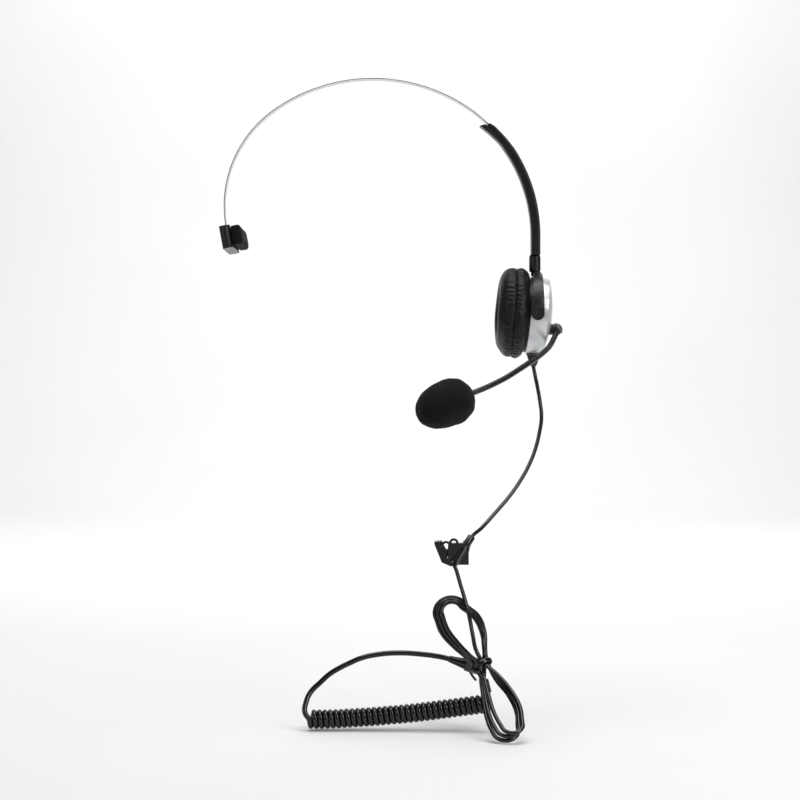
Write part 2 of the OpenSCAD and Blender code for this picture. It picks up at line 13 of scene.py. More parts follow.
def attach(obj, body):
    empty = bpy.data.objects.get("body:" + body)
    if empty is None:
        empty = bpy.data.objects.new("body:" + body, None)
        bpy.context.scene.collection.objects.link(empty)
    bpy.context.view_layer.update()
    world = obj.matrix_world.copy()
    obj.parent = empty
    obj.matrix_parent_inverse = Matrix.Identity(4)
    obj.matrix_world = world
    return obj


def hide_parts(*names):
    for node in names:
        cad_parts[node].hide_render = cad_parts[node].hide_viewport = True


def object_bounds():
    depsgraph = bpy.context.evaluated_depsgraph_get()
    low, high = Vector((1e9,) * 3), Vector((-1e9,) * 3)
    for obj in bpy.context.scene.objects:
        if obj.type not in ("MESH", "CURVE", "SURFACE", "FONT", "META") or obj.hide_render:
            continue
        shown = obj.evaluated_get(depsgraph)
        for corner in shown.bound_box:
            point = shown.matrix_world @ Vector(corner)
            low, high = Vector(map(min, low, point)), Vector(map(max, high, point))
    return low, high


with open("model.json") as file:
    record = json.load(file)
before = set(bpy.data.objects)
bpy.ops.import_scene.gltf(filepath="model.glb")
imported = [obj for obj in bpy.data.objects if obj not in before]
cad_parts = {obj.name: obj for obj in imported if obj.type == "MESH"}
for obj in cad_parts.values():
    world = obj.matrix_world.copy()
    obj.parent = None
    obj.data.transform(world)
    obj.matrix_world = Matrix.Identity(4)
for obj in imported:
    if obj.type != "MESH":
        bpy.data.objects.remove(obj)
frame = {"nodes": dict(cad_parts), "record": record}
NODES = frame["nodes"]
cad_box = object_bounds()
TAU = 2 * math.pi

# ---- Driving sizes, in millimetres, as in the CAD ----
CUP_LEAN = math.radians(5.5)
CUP_EXIT_X = 22
BOOM_D = 3.3
THIN_D = 2.3
CABLE_D = 3.0
CURL_D = 10.6
COIL_TURNS = 32.5
CUSHION_R = 27
CUSHION_DEEP = 17.5
PAD_LEN = 46.0
STRIP_TURN = math.radians(-10.6)
BAND_END = Vector((-163.756, 0, 50.956))
ARM_C = Vector((-70.2, 0, 46.1))

# ---- Routes of the boom and the cords ----
BOOM_ROUTE = [(36, -1.5, -12.5), (31.6, -13, -19.8), (27.6, -26, -23.8), (20.5, -42, -29),
              (14.8, -53, -32.5), (7.5, -63, -37), (0.7, -71, -41), (-8.2, -80, -45.3),
              (-15.2, -86, -48.2), (-19.3, -89, -49.7)]
UPPER_ROUTE = [(22, 0, -33), (23, -2, -39), (24.2, -5, -46), (25.2, -8, -53), (26, -12, -63),
               (24.5, -17, -72), (21.6, -23, -82), (17.6, -29, -91), (12.2, -35, -100), (5.4, -41, -109),
               (-3, -48, -118), (-12, -56, -127), (-18, -63.5, -131.5)]
LOWER_ROUTE = [(-28, -71, -146), (-26.8, -74, -150), (-25, -79.5, -156.5), (-23.2, -85.5, -162.5),
               (-21.4, -91.5, -169), (-20, -96, -175.5), (-18.7, -99.5, -183), (-16.9, -101.5, -191)]
COIL_ROUTE = [(-110, -100, -229), (-98, -100, -229), (-86, -100, -228.4), (-72, -100.5, -227.4),
              (-59, -101, -226.2), (-47, -102, -224.8), (-36, -103, -223.2), (-24, -104.5, -221.4),
              (-9.5, -106.2, -219.2)]
TAIL_ROUTE = [(-110.6, -100.5, -220), (-108, -97, -214.5), (-103, -94.4, -209.8), (-98, -92.5, -205.5),
              (-92, -91, -202), (-86.6, -90, -199.5), (-80, -89.5, -196.8), (-70, -89, -194.8),
              (-59, -88.5, -194.2), (-48, -88.5, -194.8), (-37, -88.8, -196.2), (-31.5, -89, -197.4)]
HOLDER_AT = Vector((-18, -63.5, -131.5))
HOLDER_TO = Vector((-28, -71, -146))
TIE_AT = Vector((-14, -102, -199))
MIC_AT = Vector((-19.3, -89, -49.7))
MIC_DIR = Vector((-0.80, -0.50, -0.33))
JUNCTION_AT = Vector((-10.7, -102.4, -214.3))
JUNCTION_DIR = Vector((-1.6, 0.8, 6)).normalized()


def turn(degrees, axis):
    return Matrix.Rotation(math.radians(degrees), 4, axis)


def along(direction, at=Vector()):
    """A frame at a point whose Z is the direction, turned as the CAD turns it."""
    d = direction.normalized()
    return (Matrix.Translation(at) @ Matrix.Rotation(math.atan2(d.y, d.x), 4, "Z")
            @ Matrix.Rotation(math.acos(d.z), 4, "Y"))


CUP = Matrix.Rotation(CUP_LEAN, 4, "Y") @ turn(90, "Y")
STRIP_TIP = Matrix.Translation(BAND_END) @ Matrix.Rotation(STRIP_TURN, 4, "Y")
MIC = along(MIC_DIR, MIC_AT)


# ---- Camera, light and floor ----

def camera():
    data = bpy.data.cameras.new("camera")
    data.lens, data.sensor_width = 81.7, 36
    data.clip_start, data.clip_end = 0.05, 20
    cam = bpy.data.objects.new("camera", data)
    cam.location = (-0.0588, -1.1, -0.0533)
    cam.rotation_euler = (math.radians(90), 0, 0)
    bpy.context.scene.collection.objects.link(cam)
    bpy.context.scene.camera = cam


def area_light(name, at, aim, size, watts, tall=None):
    data = bpy.data.lights.new(name, "AREA")
    data.energy, data.size, data.color = watts, size, (1, 1, 1)
    if tall:
        data.shape, data.size_y = "RECTANGLE", tall
    lamp = bpy.data.objects.new(name, data)
    lamp.location = at
    lamp.rotation_euler = (Vector(aim) - Vector(at)).to_track_quat("-Z", "Y").to_euler()
    bpy.context.scene.collection.objects.link(lamp)


WORLD_STRENGTH = 0.17


def studio():
    """A white world, a key and a fill in front, a top light, a narrow strip and a backdrop light."""
    world = bpy.data.worlds.new("studio")
    world.use_nodes = True
    background = world.node_tree.nodes["Background"]
    background.inputs["Color"].default_value = (1, 1, 1, 1)
    background.inputs["Strength"].default_value = WORLD_STRENGTH
    bpy.context.scene.world = world
    bpy.context.scene.view_settings.view_transform = "Standard"
    area_light("key", (0.75, -0.9, 0.75), (-0.03, -0.03, -0.05), 0.55, 6)
    area_light("fill", (-0.95, -0.8, 0.35), (-0.05, -0.03, -0.08), 0.8, 2)
    area_light("top", (-0.05, -0.1, 1.1), (-0.05, -0.05, -0.1), 0.9, 11)
    area_light("strip", (0.55, -0.55, 0.03), (0.02, -0.02, 0.0), 0.10, 1.1, tall=0.5)
    area_light("backdrop", (-0.06, 1.15, 1.35), (-0.06, 2.4, 0.2), 1.8, 27)


def floor_sheet():
    """A pale floor that curves up into the backdrop behind the object."""
    gap, arcs = 0.0004, 16
    low = cad_box[0].z - gap
    front, back, bend, high, half = -2.6, 2.3, 0.6, 3.2, 2.8
    line = [(front, low), (back - bend, low)]
    for i in range(1, arcs + 1):
        a = math.radians(90) * i / arcs
        line.append((back - bend + bend * math.sin(a), low + bend - bend * math.cos(a)))
    line.append((back, high))
    verts = [(x, y, z) for y, z in line for x in (-half, half)]
    faces = [(2 * i, 2 * i + 1, 2 * i + 3, 2 * i + 2) for i in range(len(line) - 1)]
    mesh = bpy.data.meshes.new("floor")
    mesh.from_pydata(verts, [], faces)
    for face in mesh.polygons:
        face.use_smooth = True
    sheet = bpy.data.objects.new("floor", mesh)
    bpy.context.scene.collection.objects.link(sheet)
    mesh.materials.append(floor_paper())


# ---- Materials ----

# Pointiness range over which edges are painted paler: a painted highlight
HIGHLIGHT_FROM, HIGHLIGHT_FULL = 0.53, 0.62


class Finish:
    """A Principled material and short calls for the nodes that feed it."""

    def __init__(self, name, colour, rough, metal=0.0, **sockets):
        self.material = bpy.data.materials.new(name)
        self.material.use_nodes = True
        self.tree = self.material.node_tree
        self.shader = self.tree.nodes["Principled BSDF"]
        self.shader.inputs["Base Color"].default_value = (*colour, 1)
        self.shader.inputs["Roughness"].default_value = rough
        self.shader.inputs["Metallic"].default_value = metal
        for socket, value in sockets.items():
            self.shader.inputs[socket.replace("_", " ")].default_value = value
        self.coords = self.tree.nodes.new("ShaderNodeTexCoord").outputs["Object"]
        self.height = None

    def link(self, a, b):
        self.tree.links.new(a, b)

    def scaled(self, stretch=(1, 1, 1)):
        """Object coordinates, stretched."""
        mapping = self.tree.nodes.new("ShaderNodeMapping")
        mapping.inputs["Scale"].default_value = stretch
        self.link(self.coords, mapping.inputs["Vector"])
        return mapping.outputs["Vector"]

    def noise(self, scale, detail=3.0, stretch=(1, 1, 1)):
        node = self.tree.nodes.new("ShaderNodeTexNoise")
        node.inputs["Scale"].default_value = scale
        node.inputs["Detail"].default_value = detail
        self.link(self.scaled(stretch), node.inputs["Vector"])
        return node.outputs["Fac"]

    def cells(self, scale, feature="F1"):
        node = self.tree.nodes.new("ShaderNodeTexVoronoi")
        node.feature = feature
        node.inputs["Scale"].default_value = scale
        self.link(self.scaled(), node.inputs["Vector"])
        return node.outputs["Distance"]

    def waves(self, scale, axis):
        node = self.tree.nodes.new("ShaderNodeTexWave")
        node.bands_direction = axis
        node.inputs["Scale"].default_value = scale
        self.link(self.scaled(), node.inputs["Vector"])
        return node.outputs["Fac"]

    def ramp(self, source, low, high, start=0.3, stop=0.7):
        """A source's range turned to two greys or colours."""
        node = self.tree.nodes.new("ShaderNodeValToRGB")
        for stop_at, value, place in ((0, low, start), (1, high, stop)):
            colour = value if isinstance(value, tuple) else (value,) * 3
            node.color_ramp.elements[stop_at].color = (*colour, 1)
            node.color_ramp.elements[stop_at].position = place
        self.link(source, node.inputs["Fac"])
        return node.outputs["Color"]

    def colour_from(self, source, low, high, start=0.3, stop=0.7):
        self.link(self.ramp(source, low, high, start, stop), self.shader.inputs["Base Color"])
        return self

    def rough_from(self, source, low, high):
        self.link(self.ramp(source, low, high), self.shader.inputs["Roughness"])
        return self

    def bump(self, source, depth, strength=1.0):
        """A relief of this depth in millimetres, on top of any earlier one."""
        node = self.tree.nodes.new("ShaderNodeBump")
        node.inputs["Strength"].default_value = strength
        node.inputs["Distance"].default_value = depth / 1000
        self.link(source, node.inputs["Height"])
        if self.height:
            self.link(self.height, node.inputs["Normal"])
        self.height = node.outputs["Normal"]
        self.link(self.height, self.shader.inputs["Normal"])
        return self

    def edge_highlights(self, colour, highlit):
        """Paler where the surface turns sharply outwards: a painted highlight along the edges."""
        node = self.tree.nodes.new("ShaderNodeNewGeometry")
        self.colour_from(node.outputs["Pointiness"], colour, highlit, HIGHLIGHT_FROM, HIGHLIGHT_FULL)
        return self


def floor_paper():
    """Matt white paper, very slightly uneven."""
    f = Finish("floor_paper", (0.86, 0.865, 0.87), 0.75)
    f.colour_from(f.noise(3, 2), (0.85, 0.855, 0.86), (0.875, 0.88, 0.885))
    return f.bump(f.noise(900, 4), 0.05, 0.3).material


def leatherette():
    """Thin black imitation leather: small grain, soft sheen, faint creases."""
    f = Finish("leatherette", (0.006, 0.006, 0.0065), 0.42)
    f.shader.inputs["Specular IOR Level"].default_value = 0.22
    f.rough_from(f.noise(500, 4), 0.34, 0.50)
    f.colour_from(f.noise(160, 3), (0.003, 0.003, 0.0034), (0.007, 0.007, 0.0075))
    f.bump(f.cells(1500, "DISTANCE_TO_EDGE"), 0.05, 0.5)
    return f.bump(f.noise(260, 5), 0.12, 0.35).material


def moulded(name, grey, rough, grain=0.03, **sockets):
    """Moulded plastic with a fine spark-eroded grain, and its edges painted paler as a painted highlight."""
    f = Finish(name, (grey,) * 3, rough, **sockets)
    f.shader.inputs["Specular IOR Level"].default_value = 0.35
    # Edges painted paler: a painted highlight
    f.edge_highlights((grey,) * 3, (grey * 1.8 + 0.003,) * 3)
    f.rough_from(f.noise(220, 3), rough - 0.06, rough + 0.07)
    f.bump(f.cells(3600), grain, 0.3)
    return f.bump(f.noise(1500, 4), grain * 0.6, 0.3).material


def satin_silver():
    """Silver paint on plastic: metal flake under a thin clear coat."""
    f = Finish("satin_silver", (0.62, 0.63, 0.64), 0.34, 0.78, Coat_Weight=0.25, Coat_Roughness=0.25)
    # Edges painted paler: a painted highlight
    f.edge_highlights((0.60, 0.61, 0.62), (0.74, 0.75, 0.76))
    f.rough_from(f.noise(1800, 5), 0.30, 0.40)
    return f.bump(f.noise(5200, 3), 0.012, 0.35).material


def steel(name, grey, rough, stretch):
    """Rolled or turned steel with drawn lines along one direction."""
    f = Finish(name, (grey,) * 3, rough, 1.0)
    f.rough_from(f.noise(700, 4, stretch), rough - 0.08, rough + 0.10)
    f.colour_from(f.noise(500, 4, stretch), (grey * 0.86,) * 3, (grey * 1.05,) * 3)
    return f.bump(f.noise(900, 5, stretch), 0.006, 0.4).material


def foam(name, grey, scale):
    """Open-cell foam: tiny pits and a matt, fuzzy surface."""
    f = Finish(name, (grey,) * 3, 0.95, Sheen_Weight=0.04, Sheen_Roughness=0.5)
    f.shader.inputs["Specular IOR Level"].default_value = 0.15
    f.colour_from(f.cells(scale), (grey * 0.35,) * 3, (grey * 1.5,) * 3, 0.1, 0.7)
    f.bump(f.cells(scale), 0.35, 0.9)
    return f.bump(f.noise(scale * 0.6, 5), 0.3, 0.6).material


def glossy_pvc(name, grey, rough):
    """Soft cord jacket: glossy, with faint drag marks from its extrusion."""
    f = Finish(name, (grey,) * 3, rough)
    f.rough_from(f.noise(400, 4), rough - 0.04, rough + 0.06)
    f.colour_from(f.noise(120, 2), (grey * 0.7,) * 3, (grey * 1.3,) * 3)
    return f.bump(f.noise(350, 3), 0.02, 0.2).material


def ribbed_sleeve():
    """Glossy sleeve of the boom. Its ribs are in the mesh."""
    f = Finish("boom_sleeve", (0.005,) * 3, 0.26)
    f.rough_from(f.noise(600, 4), 0.22, 0.32)
    f.colour_from(f.noise(200, 3), (0.003,) * 3, (0.007,) * 3)
    return f.bump(f.noise(1600, 4), 0.02, 0.3).material


def woven(name, grey, pitch):
    """Plain weave of fine threads, pitch in millimetres."""
    f = Finish(name, (grey,) * 3, 0.85, Sheen_Weight=0.15)
    scale = 1000 / pitch / TAU * 2
    across, down = f.waves(scale, axis="Y"), f.waves(scale, axis="Z")
    f.bump(across, 0.08, 0.7).bump(down, 0.08, 0.7)
    return f.colour_from(across, (grey * 0.5,) * 3, (grey * 1.4,) * 3).material


def circuit_board():
    """Green board with faint copper areas under its lacquer."""
    f = Finish("circuit_board", (0.03, 0.13, 0.06), 0.35, Coat_Weight=0.4)
    f.colour_from(f.cells(900), (0.02, 0.10, 0.045), (0.05, 0.19, 0.09), 0.2, 0.5)
    return f.bump(f.cells(900), 0.03, 0.4).material


def plated(name, colour, rough, metal=1.0):
    """Metal plating or enamelled wire, slightly blotched."""
    f = Finish(name, colour, rough, metal)
    f.rough_from(f.noise(1500, 4), rough - 0.06, rough + 0.12)
    dark = tuple(c * 0.82 for c in colour)
    f.colour_from(f.noise(800, 3), dark, colour)
    return f.bump(f.noise(2600, 3), 0.008, 0.3).material


def film():
    """Thin moulded diaphragm with radial corrugations."""
    f = Finish("film", (0.42, 0.34, 0.20), 0.3, Coat_Weight=0.5)
    f.colour_from(f.noise(300, 2), (0.36, 0.29, 0.17), (0.46, 0.38, 0.23))
    return f.bump(f.cells(700), 0.05, 0.4).material


MATERIALS = {
    "cushion_leatherette": leatherette(),
    "black_abs": moulded("black_abs", 0.006, 0.34),
    "silver_satin": satin_silver(),
    "spring_steel": steel("spring_steel", 0.52, 0.24, (0.15, 6, 0.15)),
    "bright_steel": steel("bright_steel", 0.60, 0.22, (1, 1, 1)),
    "grey_cap": moulded("grey_cap", 0.10, 0.38, 0.02),
    "dark_magnet": plated("dark_magnet", (0.22, 0.22, 0.23), 0.4, 0.9),
    "film": film(),
    "copper_wire": plated("copper_wire", (0.72, 0.33, 0.16), 0.3),
    "board_green": circuit_board(),
    "black_cloth": woven("black_cloth", 0.014, 0.5),
    "pad_foam": foam("pad_foam", 0.005, 2200),
    "boom_sleeve": ribbed_sleeve(),
    "windscreen_foam": foam("windscreen_foam", 0.004, 1500),
    "cord_pvc": glossy_pvc("cord_pvc", 0.003, 0.13),
    "clip_plastic": moulded("clip_plastic", 0.005, 0.18, 0.012, Coat_Weight=0.3),
    "plug_plastic": moulded("plug_plastic", 0.012, 0.22, 0.012, Coat_Weight=0.4),
    "gold_contacts": plated("gold_contacts", (0.83, 0.60, 0.22), 0.22),
}


# ---- Making meshes ----

def piece(name, verts, faces, slot, body, where=Matrix(), replaces=()):
    """A mesh piece from millimetre points in a local frame, riding on a CAD body."""
    mesh = bpy.data.meshes.new(name)
    mesh.from_pydata([(where @ Vector(v)) * 0.001 for v in verts], [], faces)
    mesh.materials.append(MATERIALS[slot])
    mesh.polygons.foreach_set("use_smooth", [True] * len(mesh.polygons))
    obj = bpy.data.objects.new(name, mesh)
    bpy.context.scene.collection.objects.link(obj)
    work = bmesh.new()
    work.from_mesh(mesh)
    bmesh.ops.recalc_face_normals(work, faces=work.faces)
    work.to_mesh(mesh)
    work.free()
    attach(obj, body)
    if replaces:
        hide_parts(*replaces)
    return obj


def smooth_route(points, steps):
    """A Catmull-Rom curve through the points, with this many steps in each stretch."""
    pts = [Vector(p) for p in points]
    out = []
    for i in range(len(pts) - 1):
        a, b, c, d = pts[max(i - 1, 0)], pts[i], pts[i + 1], pts[min(i + 2, len(pts) - 1)]
        for j in range(steps):
            t = j / steps
            out.append(0.5 * (2 * b + (c - a) * t + (2 * a - 5 * b + 4 * c - d) * t ** 2
                              + (3 * b - a - 3 * c + d) * t ** 3))
    return out + [pts[-1]]


def even_steps(line, step):
    """The line cut again into equal lengths of about this step."""
    marks = [0.0]
    for a, b in zip(line, line[1:]):
        marks.append(marks[-1] + (b - a).length)
    count = max(2, round(marks[-1] / step))
    out, k = [], 0
    for i in range(count + 1):
        s = marks[-1] * i / count
        while k < len(marks) - 2 and marks[k + 1] < s:
            k += 1
        t = (s - marks[k]) / max(marks[k + 1] - marks[k], 1e-9)
        out.append(line[k].lerp(line[k + 1], min(max(t, 0), 1)))
    return out


def headings(line):
    """The direction of travel at each point."""
    last = len(line) - 1
    return [(line[min(i + 1, last)] - line[max(i - 1, 0)]).normalized() for i in range(len(line))]


def carried_frames(line):
    """A pair of side directions at each point, carried along without twist."""
    dirs = headings(line)
    side = dirs[0].orthogonal().normalized()
    out = []
    for d in dirs:
        side = (side - d * side.dot(d)).normalized()
        out.append((side.copy(), d.cross(side)))
    return out


def circle(steps):
    """Cosine and sine at each step round a circle."""
    return [(math.cos(TAU * a / steps), math.sin(TAU * a / steps)) for a in range(steps)]


def stacked_faces(rings, n):
    """Faces between rings of n points each, with a cap on each end."""
    faces = []
    for i in range(rings - 1):
        for a in range(n):
            b = (a + 1) % n
            faces.append((i * n + a, i * n + b, (i + 1) * n + b, (i + 1) * n + a))
    return faces + [tuple(range(n - 1, -1, -1)), tuple((rings - 1) * n + a for a in range(n))]


def tube(line, radii, sides):
    """Points and faces of a closed tube whose radius may change along the line."""
    verts = []
    for p, (u, v), r in zip(line, carried_frames(line), radii):
        verts += [p + r * (c * u + s * v) for c, s in circle(sides)]
    return verts, stacked_faces(len(line), sides)


def turned(profile, steps, closed=False):
    """A profile of (radius, height) pairs turned about Z. An open profile may end on the axis."""
    verts, faces, rings = [], [], []
    for r, z in profile:
        if r < 1e-6:
            rings.append([len(verts)])
            verts.append((0, 0, z))
        else:
            rings.append(list(range(len(verts), len(verts) + steps)))
            verts += [(r * c, r * s, z) for c, s in circle(steps)]
    pairs = list(zip(rings, rings[1:])) + ([(rings[-1], rings[0])] if closed else [])
    for low, high in pairs:
        for a in range(steps):
            b = (a + 1) % steps
            loop = [low[a % len(low)], low[b % len(low)], high[b % len(high)], high[a % len(high)]]
            loop = [v for i, v in enumerate(loop) if v not in loop[:i]]
            if len(loop) > 2:
                faces.append(tuple(loop))
    return verts, faces


# ---- Cords ----

def cord_curve(name, points, diameter, body, replaces):
    """One smooth round cord through the points, in millimetres."""
    data = bpy.data.curves.new(name, "CURVE")
    data.dimensions = "3D"
    data.bevel_depth, data.bevel_resolution = diameter / 2000, 5
    data.resolution_u, data.use_fill_caps = 5, True
    spline = data.splines.new("BEZIER")
    spline.bezier_points.add(len(points) - 1)
    for knot, p in zip(spline.bezier_points, points):
        knot.co = Vector(p) * 0.001
        knot.handle_left_type = knot.handle_right_type = "AUTO"
    data.materials.append(MATERIALS["cord_pvc"])
    obj = bpy.data.objects.new(name, data)
    bpy.context.scene.collection.objects.link(obj)
    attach(obj, body)
    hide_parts(*replaces)
    return obj


def route_length(points):
    """Length along the smooth curve, in metres."""
    line = smooth_route(points, 8)
    return sum((b - a).length for a, b in zip(line, line[1:])) / 1000


UPPER_LOOP = turn(-28, "X") @ turn(-27, "Y")
LOWER_LOOP = turn(-50, "X") @ turn(165, "Y")
TIE_TURN = turn(-30, "X") @ turn(-28, "Y")


def loop_points(plane, reach, radius, depth, shift, bulges):
    """A hank's loop out along one side, round its end and back along the other.

    bulges are how far the run out and the run back bow away from the loop's middle. shift moves
    the loop's far end sideways, and depth sets it in front of the others or behind them.
    """
    # Along each run: how far out, and the share of the loop's full half width there
    stages, near, arcs = ((0.22, 0.30), (0.5, 0.62), (0.78, 0.90)), 1.0, 8
    local = []
    for u, share in stages:
        local.append((-(radius * share + near + bulges[0] * math.sin(math.pi * u)), u * reach))
    for i in range(arcs + 1):
        a = math.pi * i / arcs
        local.append((-radius * math.cos(a), reach + radius * math.sin(a)))
    for u, share in stages[::-1]:
        local.append((radius * share + near + bulges[1] * math.sin(math.pi * u), u * reach))
    side = [x + shift * min(1, y / reach) for x, y in local]
    return [TIE_AT + plane @ Vector((x, depth, y)) for x, (_, y) in zip(side, local)]


def tie_point(across, back):
    """A point in the plane of the tie, where a strand passes through it."""
    return TIE_AT + TIE_TURN @ Vector((across, back, 0))


def hank():
    """The spare cord: three turns, each a lower and an upper loop, through the tie in the middle."""
    # Each loop's reach, radius, depth and shift, then where each strand passes through the tie
    lower = ((46.0, 5.8, -2.2, -2.8), (45.2, 6.4, 0.0, -0.6), (45.5, 6.9, 2.2, 0.6))
    upper = ((35.0, 9.6, 2.2, 0.0), (34.8, 7.6, 0.0, -0.3), (34.4, 5.7, -2.2, -0.3))
    down = ((1.2, -2.4), (3.4, -1.0), (4.1, 1.4), (1.9, 2.6))
    up = ((-3.3, 1.6), (-3.9, -0.8), (-1.6, -2.8))
    points = []
    for k in range(3):
        points.append(tie_point(*down[k]))
        points += loop_points(LOWER_LOOP, *lower[k], (3.4, 0))
        points.append(tie_point(*up[k]))
        points += loop_points(UPPER_LOOP, *upper[k], (1.4, 4.4))
    points.append(tie_point(*down[3]))
    return points


def thin_cord():
    """Thin cord from the cup, through the clip, into the hank and on to the curly cord's sleeve."""
    through_clip = [HOLDER_AT.lerp(HOLDER_TO, t) for t in (0.3, 0.65)]
    last = [Vector((-12.4, -99.7, -203.4))] + [JUNCTION_AT + JUNCTION_DIR * t for t in (7.3, 4, 1)]
    points = ([Vector(p) for p in UPPER_ROUTE] + through_clip + [Vector(p) for p in LOWER_ROUTE]
              + hank() + last)
    cord = cord_curve("thin_cord", points, THIN_D, "ear_cup",
                      ["upper_cord", "lower_cord", "cord_hank"])
    return cord, route_length(points)


def curly_points():
    """The coiled cable: out of the sleeve, down the back of the first turn and along to the last one."""
    steps = 14
    coil_from, coil_span = 0.01, 0.975
    line = even_steps(smooth_route(COIL_ROUTE, 12)[::-1], 0.5)
    radius = (CURL_D - CABLE_D) / 2
    count = int(COIL_TURNS * steps)
    points = [JUNCTION_AT + JUNCTION_DIR * t for t in (3.2, 1.2, -0.8)]
    for i in range(count + 1):
        t = coil_from + i / count * coil_span
        at = t * (len(line) - 1)
        k = min(int(at), len(line) - 2)
        centre = line[k].lerp(line[k + 1], at - k)
        ahead = (line[k + 1] - line[k]).normalized()
        front = Vector((0, -1, 0))
        front = (front - ahead * front.dot(ahead)).normalized()
        top = front.cross(ahead) if front.cross(ahead).z > 0 else ahead.cross(front)
        # The phase ends at the front, with the cable heading up
        phase = (i / steps - COIL_TURNS) * TAU
        points.append(centre + radius * (math.cos(phase) * front + math.sin(phase) * top))
    return points


def curly_cord():
    """The coiled cable, its rise out of the last turn, and its straight tail to the plug."""
    rise = [Vector((-111.0, -102.9, -225.0))]
    points = curly_points() + rise + [Vector(p) for p in TAIL_ROUTE]
    cord = cord_curve("curly_cord_and_tail", points, CABLE_D, "ear_cup",
                      ["curly_cord", "tail_cord"])
    return cord, route_length(points)


def twist_tie():
    """A soft tie band round the hank with its end left hanging."""
    verts, faces = [], []
    sides, ring = 56, 12
    wide, deep, band_thick, band_tall = 6.0, 4.7, 0.55, 1.35
    for across, back in circle(sides):
        centre = Vector((wide * across, deep * back, 0))
        out = Vector((across / wide, back / deep, 0)).normalized()
        verts += [centre + out * band_thick * c + Vector((0, 0, band_tall * s)) for c, s in circle(ring)]
    for i in range(sides):
        for a in range(ring):
            j, b = (i + 1) % sides, (a + 1) % ring
            faces.append((i * ring + a, i * ring + b, j * ring + b, j * ring + a))
    knot = smooth_route([(-5.6, -2.2, 0.6), (-7.0, -3.0, 0.2), (-8.0, -3.2, -1.6), (-8.1, -3.0, -4.4),
                         (-7.6, -2.8, -7.4)], 6)
    t_verts, t_faces = tube(knot, [1.0 - 0.35 * i / (len(knot) - 1) for i in range(len(knot))], 10)
    start = len(verts)
    verts += t_verts
    faces += [tuple(start + i for i in f) for f in t_faces]
    return piece("twist_tie", verts, faces, "cord_pvc", "ear_cup",
                 Matrix.Translation(TIE_AT) @ TIE_TURN, replaces=["hank_tie"])


def strain_relief():
    """Ribbed taper where the thin cord leaves the cup: it follows the cup's curved underside."""
    foot = Matrix.Translation((CUP_EXIT_X, 0, 0))
    ribs, rib_pitch, rib_growth, flatness = 4, 1.15, 0.38, 0.86
    # The cup's round side, its radius stretched and sloped by the cup's lean
    cup_r, stretch, slope = 23.1, 1.0046, 0.0963
    profile = [(0, -33.0), (1.35, -33.0), (1.6, -32.8), (2.3, -31.6)]
    for i in range(ribs):
        z = -31.2 + i * rib_pitch
        r = 2.55 + i * rib_growth
        profile += [(r - 0.16, z), (r + 0.14, z + 0.2), (r + 0.2, z + 0.7), (r - 0.1, z + 0.9)]
    profile += [(4.15, -26.3), (4.5, -25.2), (4.8, -24), (4.9, -22.6),
                (2.2, -22.5), (2.2, -19.6), (0, -19.6)]
    verts, faces = turned(profile, 64)
    bent = []
    for x, y, z in verts:
        cup_under = -stretch * math.sqrt(cup_r ** 2 - y ** 2) - slope * (CUP_EXIT_X + x)
        if z > -26 and math.hypot(x, y) > 2.3:
            z = min(z, cup_under + 0.1)
        bent.append((x, y * flatness, z))
    return piece("strain_relief_boot", bent, faces, "cord_pvc", "ear_cup", foot, replaces=["strain_relief"])


camera()
boot = strain_relief()
tie = twist_tie()
thin, thin_length = thin_cord()
curly, curly_length = curly_cord()


# ---- Soft pieces ----

CLOTH_GROW = 20.0
CLOTH_PRESSURE = 4.0
CLOTH_SHRINK = -0.03
CLOTH_FRAMES = 20


def inflate(obj, pinned, cap):
    """Cloth, filled with air at a larger scale where the solver behaves, then brought back. cap is in mm."""
    mesh = obj.data
    rest = [v.co.copy() for v in mesh.vertices]
    centre = sum(rest, Vector()) / len(rest)
    for v in mesh.vertices:
        v.co = (v.co - centre) * CLOTH_GROW
    group = obj.vertex_groups.new(name="pinned")
    group.add(pinned, 1.0, "REPLACE")
    cloth = obj.modifiers.new("fill", "CLOTH")
    s = cloth.settings
    s.quality, s.mass, s.air_damping = 6, 0.3, 2.0
    s.tension_stiffness = s.compression_stiffness = 18
    s.shear_stiffness, s.bending_stiffness = 6, 0.25
    s.use_pressure, s.uniform_pressure_force = True, CLOTH_PRESSURE
    s.vertex_group_mass = "pinned"
    s.shrink_min = CLOTH_SHRINK
    s.effector_weights.gravity = 0
    scene = bpy.context.scene
    for f in range(1, CLOTH_FRAMES + 1):
        scene.frame_set(f)
    done = obj.evaluated_get(bpy.context.evaluated_depsgraph_get())
    moved = [v.co.copy() for v in done.data.vertices]
    obj.modifiers.remove(cloth)
    scene.frame_set(1)
    for v, old, new in zip(mesh.vertices, rest, moved):
        step = new / CLOTH_GROW + centre - old
        if step.length > cap / 1000:
            step = step.normalized() * (cap / 1000)
        v.co = old + step
    obj.vertex_groups.remove(group)


def subdivide(obj):
    """One level of subdivision on the finished shape."""
    m = obj.modifiers.new("smooth", "SUBSURF")
    m.levels = m.render_levels = 1


